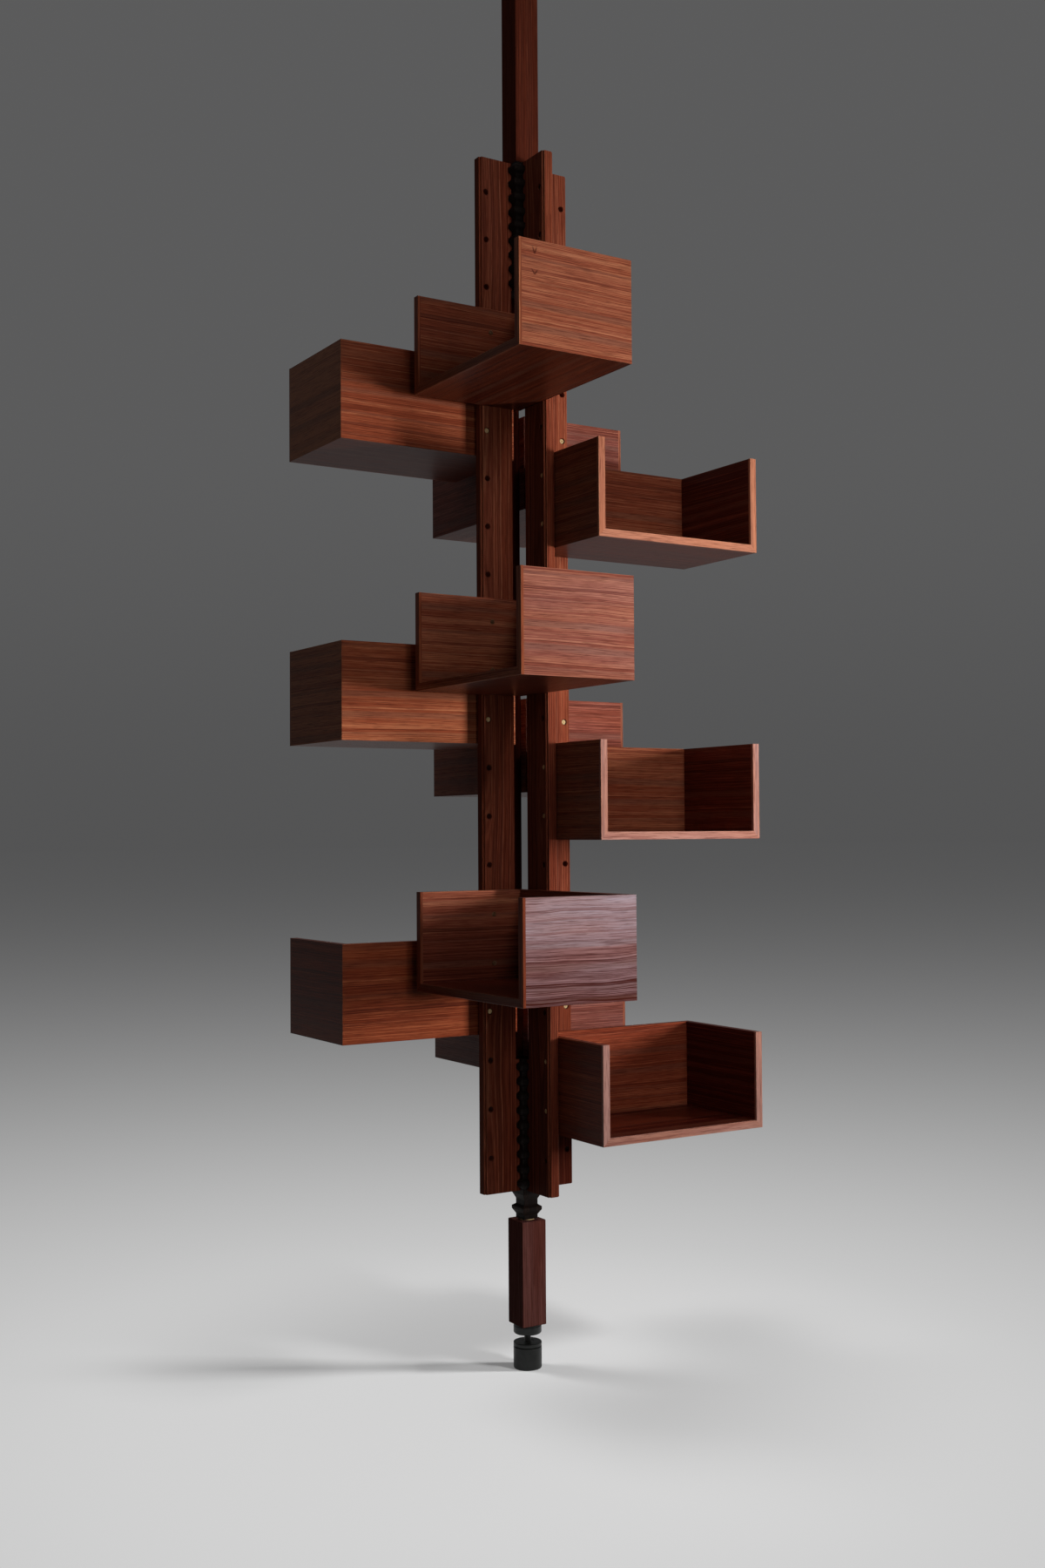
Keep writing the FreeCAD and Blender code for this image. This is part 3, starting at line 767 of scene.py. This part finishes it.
cup, cap = lathe(cupProfile(), foot["sides"]), lathe(capProfile(), foot["sides"], closed=True)
disc = lathe(collarProfile(), collar["sides"], closed=True)
spots = [(sx * plate["screws"], sy * plate["screws"]) for sx in (-1, 1) for sy in (-1, 1)]
screwHeads = together([plateScrew(*spot) for spot in spots])
putPiece("foot_cup_turned", cup, enamel, "foot", ["foot_cup"], "round")
putPiece("foot_cap_turned", cap, enamel, "foot", ["foot_cap"], "round")
putPiece("jack_collar_turned", disc, enamel, "stand", ["jack_collar"], "round")
putPiece("threaded_rod", threadedRod(), steel, "screw", ["levelling_screw"], "thread")
putPiece("ceiling_plate_socket", ceilingPlate(), enamel, "stand", ["ceiling_plate"], "edged")
putPiece("ceiling_screws", screwHeads, steel, "stand", shading="small")
for name, finish in (("lower_pivot_pin", steel), ("upper_pivot_pin", steel), ("pivot_bushes", brass)):
    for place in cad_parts[name].material_slots:
        place.material = finish
print("foot, screw, collar and ceiling plate ready")


# twelve boxes, each a quarter turn on from the one above it and at least one hole lower
shelf = {"count": 12, "length": 402.0, "depth": 251.0, "height": 198.0, "board": 16.0, "edging": 6.0,
         "offset": 13.0, "firstTurn": 180, "turn": -90, "firstHole": 4, "inRound": 4, "skipped": 2,
         "arris": 0.9, "joint": 0.35, "tight": 0.1, "vary": 0.1, "floorShade": 0.3, "boltLine": 80.0,
         "bolts": (49.0, 149.0), "boltSides": 20,
         "boltHead": [(5.0, -0.4), (4.9, 0.7), (4.2, 1.7), (2.6, 2.2), (1.1, 2.1), (0.9, 1.3)]}
boxLook = {
    "tone": [0.58, 0.58, 0.42, 0.58, 0.52, 0.68, 0.46, 0.64, 0.42, 0.58, 0.42, 0.46],
    # figure of the back with the first side, and of the second side; its silvery part is painted sheen,
    # a reflection of cool light, strongest low down
    "figureAndSheen": [(0.01, 0.04), (0, 0), (0.18, 0.02), (0.02, 0.06), (0.03, 0.18), (0, 0), (0.14, 0.02),
               (0.02, 0.06), (0.06, 0.8), (0, 0), (0.3, 0.02), (0.02, 0.06)],
    # tone of the back and of the second side, over the box's own; the second sides' values are painted light
    # and shade on the walls that face away from the key lamp
    "extra": [(0, 0), (0, 0.32), (0.2, 0), (0, -0.42), (0, 0), (0, 0.04), (0.2, 0), (0, -0.46),
              (0, 0), (0, -0.25), (0.2, 0), (0, -0.28)],
    # how much paler the edging is, and its figure; the large values, on the boxes whose edging faces the
    # key lamp, are painted sheen
    "edging": [(0, 0), (0.08, 0.06), (0.08, 0.06), (0.42, 0.1), (0, 0), (0.08, 0.06), (0.08, 0.06),
               (0.3, 0.26), (0, 0), (0.08, 0.06), (0.08, 0.06), (0.43, 0.3)],
    # how much darker the sides are painted from top to bottom, as light falling from above
    "fall": [0, 0, 0, 0, 0, 0, 0, 0, 0.55, 0, 0, 0]}
boxWood = {(0, "sides"): knottedWalnut, (8, "back"): redWalnut, (8, "floor"): redWalnut,
           (9, "back"): redWalnut, (9, "floor"): redWalnut, (9, "sides"): redWalnut,
           (11, "back"): redWalnut, (11, "floor"): redWalnut, (11, "sides"): redWalnut}  # the rest is walnut


def shelfAngle(n):
    # each box stands a quarter turn on from the one above it
    return (shelf["firstTurn"] + shelf["turn"] * n) % 360


def shelfHole(n):
    # the lower of the two holes that hold a box: one hole down a box, and some skipped after each round
    return shelf["firstHole"] + n + shelf["skipped"] * (n // shelf["inRound"])


def shelfBase(n):
    # the two holes lie evenly about the middle of the box
    return holeHeight(shelfHole(n)) - (shelf["height"] - uprightSize["pitch"]) / 2


def mirroredAcross(shape):
    # y becomes length - y in the box's own frame
    verts = shape["verts"] * np.array([1, -1, 1]) + np.array([0, shelf["length"] * mm, 0])
    return {**shape, "verts": verts}


def boxShapes(tone, figureAndSheen, extra, edging, fall):
    # Seven boards, each an outline carried between mitres, in the box's own frame: back board at x = 0,
    # first side at y = 0, floor at z = 0, open front and top.
    t, length, height, depth = shelf["board"], shelf["length"], shelf["height"], shelf["depth"]
    panel, ease, joint, tight = depth - shelf["edging"], shelf["arris"], shelf["joint"], shelf["tight"]
    wall, wallEdges = [(0, 0), (t, t), (height, t), (height, 0)], [joint, tight, ease, ease]
    strip, stripEdges = [(panel, 0), (depth, 0), (depth, t), (panel, t)], [tight, ease, ease, tight]
    vary = chance.uniform(-shelf["vary"], shelf["vary"], 7) + tone  # floor, back, sides, sill and stiles
    # the second side's tone here is painted light and shade
    vary[[1, 3]] += extra
    # the edging is made paler; the large lifts are painted sheen
    vary[4:] += edging[0]
    # the floor board is painted darker, as shade inside the box and beneath it
    floor = carried([(0, 0), (panel, 0), (panel, t), (t, t)], [joint, tight, tight, tight], (0, 2, 1), 0,
                    length, 1, 1, tone=vary[0] - shelf["floorShade"])
    back = carried(wall, wallEdges, (2, 0, 1), 0, length, 1, 1, tone=vary[1], figureAndSheen=figureAndSheen[0])
    sides = [carried(wall, wallEdges, (2, 1, 0), 0, panel, 1, 0, tone=vary[2 + i], figureAndSheen=figureAndSheen[i])
             for i in (0, 1)]
    # painted light: the sides lighter at the top and darker at the bottom
    for side in sides:
        side["tone"] += fall * (side["verts"][:, 2] / (height * mm) - 0.5)
    sill = carried(strip, stripEdges, (0, 2, 1), 0, length, 1, 1, tone=vary[4], figureAndSheen=edging[1])
    stiles = [carried(strip, stripEdges, (0, 1, 2), 0, height, 1, 0, tone=vary[5 + i], figureAndSheen=edging[1])
              for i in (0, 1)]
    return {"floor": floor, "back": back, "sides": together([sides[0], mirroredAcross(sides[1])]),
            "edging": together([sill, stiles[0], mirroredAcross(stiles[1])])}


def boltHeads():
    # low domed heads on the inner faces of the first side and the back board, on the line of the holes
    dome = np.array(shelf["boltHead"]) + (0, shelf["board"])
    line, sides = shelf["boltLine"], shelf["boltSides"]
    onSide = [lathe(dome, sides, 1, (line, 0, z)) for z in shelf["bolts"]]
    onBack = [lathe(dome, sides, 0, (0, line, z)) for z in shelf["bolts"]]
    return together(onSide + onBack)


heads = boltHeads()
allHeads = []
for n in range(shelf["count"]):
    lift = np.array([shelf["offset"], shelf["offset"], shelfBase(n)]) * mm
    for part, shape in boxShapes(**{key: values[n] for key, values in boxLook.items()}).items():
        node = "shelf_edging" if part == "edging" else "shelf_%d_%s" % (n + 1, part)
        wood = boxWood.get((n, part), walnut)
        placed = turned(shape, shelfAngle(n), lift)
        putPiece("box_%d_%s" % (n + 1, part), placed, wood, "column", [node])
    allHeads.append(turned(heads, shelfAngle(n), lift))
putPiece("box_bolt_heads", together(allHeads), agedBrass, "column", shading="round")
print("shelf boxes ready")


# brass barrels in the holes that carry a box, flush under a board and set back where they show
barrel = {"radius": 5.0, "half": 13.0, "recess": 2.0, "flush": 0.05, "rim": 0.7, "dimple": 1.2,
          "dimpleRadii": (0.5, 1.4, 1.7), "sides": 24}


def barrelEnd(level, side):
    # (radius, height) from the middle dimple out to the rim; side is +1 for the upper end
    r, rim, deep = barrel["radius"], barrel["rim"], barrel["dimple"]
    middle, low, high = barrel["dimpleRadii"]
    steps = np.array([(middle, -deep), (low, -deep), (high, 0.0), (r - rim, 0.0), (r, -rim)])
    return np.stack([steps[:, 0], level + side * steps[:, 1]], -1)


boarded = {}
for n in range(shelf["count"]):
    for hole in (shelfHole(n) - 1, shelfHole(n)):
        boarded.setdefault((shelfAngle(n), hole), []).append(1)
        boarded.setdefault(((shelfAngle(n) + 90) % 360, hole), []).append(-1)
barrels = []
for (degrees, hole), faces in boarded.items():
    low, high = [barrel["half"] - barrel["flush" if side in faces else "recess"] for side in (-1, 1)]
    profile = np.concatenate([barrelEnd(-low, -1), barrelEnd(high, 1)[::-1]])
    centre = (uprightSize["holeLine"], 0, holeHeight(hole))
    barrels.append(turned(lathe(profile, barrel["sides"], 1, centre), degrees))
putPiece("barrel_nuts_round", together(barrels), brass, "column", ["barrel_nuts"], "small")
print("barrels ready:", len(barrels))


# floor, backdrop, lamps and camera
stage = {"size": 240.0, "near": (0.672, 0.672, 0.672), "far": (0.0885, 0.0885, 0.0895), "fade": 3.2,
         "power": 1.78, "palest": (-0.21, -0.34, 0), "paint": (0.72, 0.72, 0.72),
         "bounce": (0.05, 0.05, 0.05), "roughness": 0.8, "specular": 0.1, "litTo": 0.25, "plainFrom": 1.15,
         "behind": (0.088, 0.088, 0.089), "above": (0.105, 0.105, 0.106), "aboveFrom": 0.24,
         "fill": (0.02, 0.02, 0.021)}
camera = {"lens": 37.836, "sensor": 36.0, "place": (-1.82848, -2.92778, 1.10448),
          "turn": (91.729, 0.353, -31.917), "clipEnd": 400.0}
lamps = {  # place, aim, width, height, spread, power, colour, what it lights
    "key": ((2.75, -2.75, 1.4), (0, 0, 1.4), 0.3, 1.0, 50, 20.0, (1.0, 0.96, 0.93), "object"),
    "left": ((-4.2, -0.6, 2.4), (0, 0, 1.3), 1.5, 1.5, 180, 3.6, (1.0, 0.95, 0.9), "object"),
    "high": ((0.4, -3.2, 3.0), (0, 0, 1.3), 0.8, 0.8, 100, 8.0, (1.0, 0.94, 0.88), "object"),
    "front": ((-0.4, -4.4, 1.5), (0, 0, 1.4), 1.8, 1.8, 180, 26.0, (1.0, 0.93, 0.87), "object"),
    "top": ((0.0, -0.3, 5.2), (0, 0, 0), 3.0, 3.0, 180, 24.0, (0.97, 0.98, 1.0), "object"),
    "back": ((1.8, 3.6, 1.8), (0, 0, 1.3), 1.6, 1.6, 180, 140.0, (1.0, 0.98, 0.96), "object"),
    "floorLow": ((17.0, -10.56, 4.2), (0, 0, 0), 3.0, 2.4, 180, 8000.0, (1, 1, 1), "floor"),
    "floorSide": ((1.46, -3.15, 4.1), (0, 0, 0), 0.7, 0.7, 180, 98.0, (1, 1, 1), "floor"),
    "floorBack": ((-1.6, 2.0, 3.4), (0, 0, 0), 1.0, 1.0, 180, 56.0, (1, 1, 1), "floor")}


def lookedAt(tree):
    # 1 for rays from the camera and for what metal and glass show, 0 for light that bounces
    path = addNode(tree, "LightPath").outputs
    shown = sums(tree, "MAXIMUM", path["Is Glossy Ray"], path["Is Transmission Ray"])
    return sums(tree, "MAXIMUM", path["Is Camera Ray"], shown)


def floorMaterial():
    # near the foot a pale painted floor under the lamps; further out, for rays that look at it, the plain
    # colour far + (near - far) / (1 + (d / fade)^power), d the distance from the palest point
    material = bpy.data.materials.new("studio_floor")
    tree = emptyTree(material)
    place = addNode(tree, "TexCoord").outputs["Object"]
    r = addNode(tree, "VectorMath", {0: place}, operation="LENGTH").outputs["Value"]
    d = addNode(tree, "VectorMath", {0: place, 1: stage["palest"]}, operation="DISTANCE").outputs["Value"]
    fall = sums(tree, "POWER", sums(tree, "DIVIDE", d, stage["fade"]), stage["power"])
    share = sums(tree, "DIVIDE", 1.0, sums(tree, "ADD", 1.0, fall))
    colour = blended(tree, share, (*stage["far"], 1), (*stage["near"], 1))
    looked = lookedAt(tree)
    painted = blended(tree, looked, (*stage["bounce"], 1), (*stage["paint"], 1))
    paint = addNode(tree, "BsdfPrincipled", {"Base Color": painted, "Roughness": stage["roughness"],
                                             "Specular IOR Level": stage["specular"]})
    plain = addNode(tree, "Emission", {"Color": colour, "Strength": 1.0})
    away = times(tree, spread(tree, r, stage["litTo"], stage["plainFrom"]), looked)
    surface = addNode(tree, "MixShader", {0: away, 1: paint.outputs[0], 2: plain.outputs[0]})
    addNode(tree, "OutputMaterial", {"Surface": surface.outputs[0]})
    return material


side = stage["size"] / 2
floorMesh = bpy.data.meshes.new("studio_floor")
floorMesh.from_pydata([(-side, -side, 0), (side, -side, 0), (side, side, 0), (-side, side, 0)], [],
                      [(0, 1, 2, 3)])
floorMesh.materials.append(floorMaterial())
floor = bpy.data.objects.new("studio_floor", floorMesh)
bpy.context.scene.collection.objects.link(floor)

world = bpy.data.worlds.new("studio")
bpy.context.scene.world = world
tree = emptyTree(world)
upward = addNode(tree, "SeparateXYZ", {0: addNode(tree, "TexCoord").outputs["Generated"]}).outputs[2]
backdrop = blended(tree, spread(tree, upward, 0.0, stage["aboveFrom"]), (*stage["behind"], 1),
                   (*stage["above"], 1))
sky = blended(tree, lookedAt(tree), (*stage["fill"], 1), backdrop)
background = addNode(tree, "Background", {"Color": sky, "Strength": 1.0})
addNode(tree, "OutputWorld", {"Surface": background.outputs[0]})

floorOnly, notFloor = bpy.data.collections.new("floor only"), bpy.data.collections.new("not the floor")
floorOnly.objects.link(floor)
notFloor.objects.link(floor)
notFloor.collection_objects[0].light_linking.link_state = "EXCLUDE"
for name, (spot, aim, width, height, spreadAngle, power, colour, lights) in lamps.items():
    lamp = bpy.data.lights.new(name, "AREA")
    lamp.shape, lamp.size, lamp.size_y, lamp.energy, lamp.color = "RECTANGLE", width, height, power, colour
    lamp.spread = math.radians(spreadAngle)
    lampObject = bpy.data.objects.new(name, lamp)
    toward = np.array(aim) - np.array(spot)
    flat = math.hypot(toward[0], toward[1])
    heading = math.atan2(toward[1], toward[0])
    lampObject.location = spot
    lampObject.rotation_euler = (math.atan2(flat, -toward[2]), 0, heading - math.pi / 2)
    lampObject.visible_glossy = False
    lampObject.light_linking.receiver_collection = floorOnly if lights == "floor" else notFloor
    bpy.context.scene.collection.objects.link(lampObject)

lens = bpy.data.cameras.new("camera")
lens.lens, lens.sensor_width, lens.sensor_fit = camera["lens"], camera["sensor"], "AUTO"
lens.clip_end = camera["clipEnd"]
eye = bpy.data.objects.new("camera", lens)
eye.location = camera["place"]
eye.rotation_euler = [math.radians(angle) for angle in camera["turn"]]
bpy.context.scene.collection.objects.link(eye)
bpy.context.scene.camera = eye
bpy.context.scene.view_settings.view_transform = "Standard"
print("stage ready")
